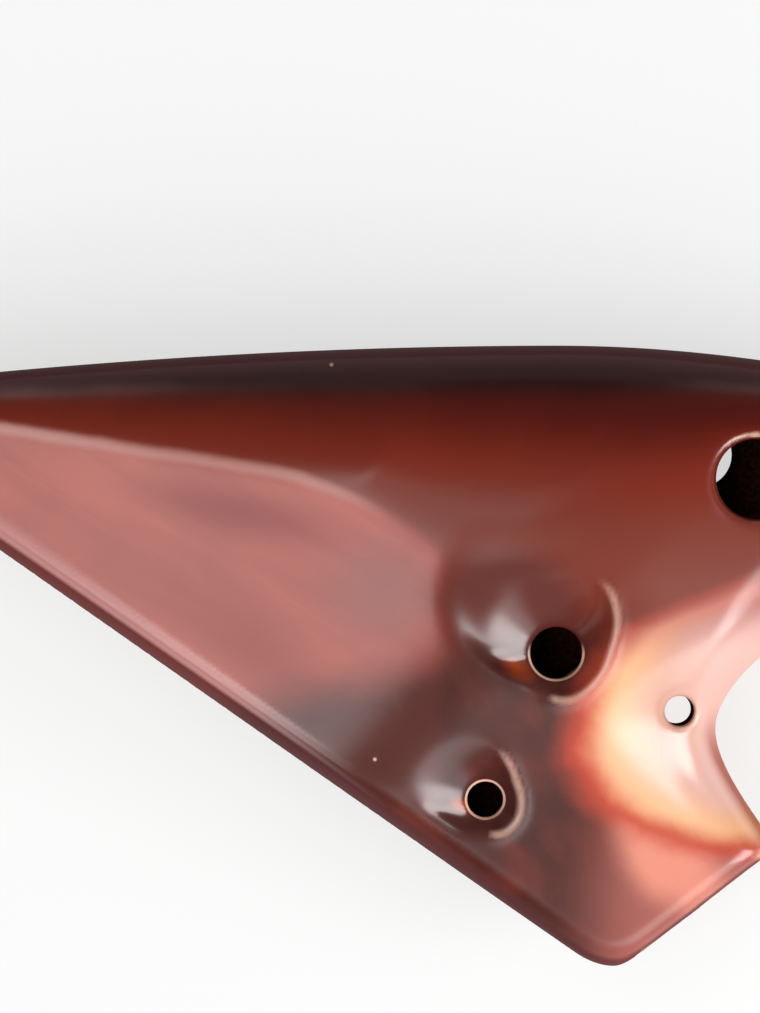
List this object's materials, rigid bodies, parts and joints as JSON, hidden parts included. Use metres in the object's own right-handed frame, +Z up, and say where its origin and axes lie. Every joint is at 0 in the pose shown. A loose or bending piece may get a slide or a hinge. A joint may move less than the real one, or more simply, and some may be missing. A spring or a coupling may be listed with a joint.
{
  "type": "double ocarina",
  "caption": "Glazed clay transverse double ocarina: a wing-shaped hollow body with a tail, a bulb and a side beak that blows two chambers, each with a round window.",
  "frame": {"origin": "bottom centre of the box round the ocarina, which lies on the flat foot of its finger side", "axes": "+X towards the bulb and -X towards the tail tip, -Y towards the beak, +Z up, out of the window side"},
  "size_m": [0.1765, 0.0862, 0.038],
  "materials": {
    "glaze_back": "glossy red-brown glaze with smoked dark patches",
    "glaze_front": "glossy red-brown glaze with smoked dark patches",
    "glaze_beak_back": "glossy lighter red-brown glaze",
    "glaze_beak_front": "glossy lighter red-brown glaze",
    "bare_clay": "matt unglazed fired clay"
  },
  "bodies": {
    "root": {"back_shell": "glaze_back", "front_shell": "glaze_front", "beak_back": "glaze_beak_back", "beak_front": "glaze_beak_front", "main_windway_block": "bare_clay", "high_windway_block": "bare_clay", "chamber_divider": "bare_clay"}
  },
  "joints": []
}
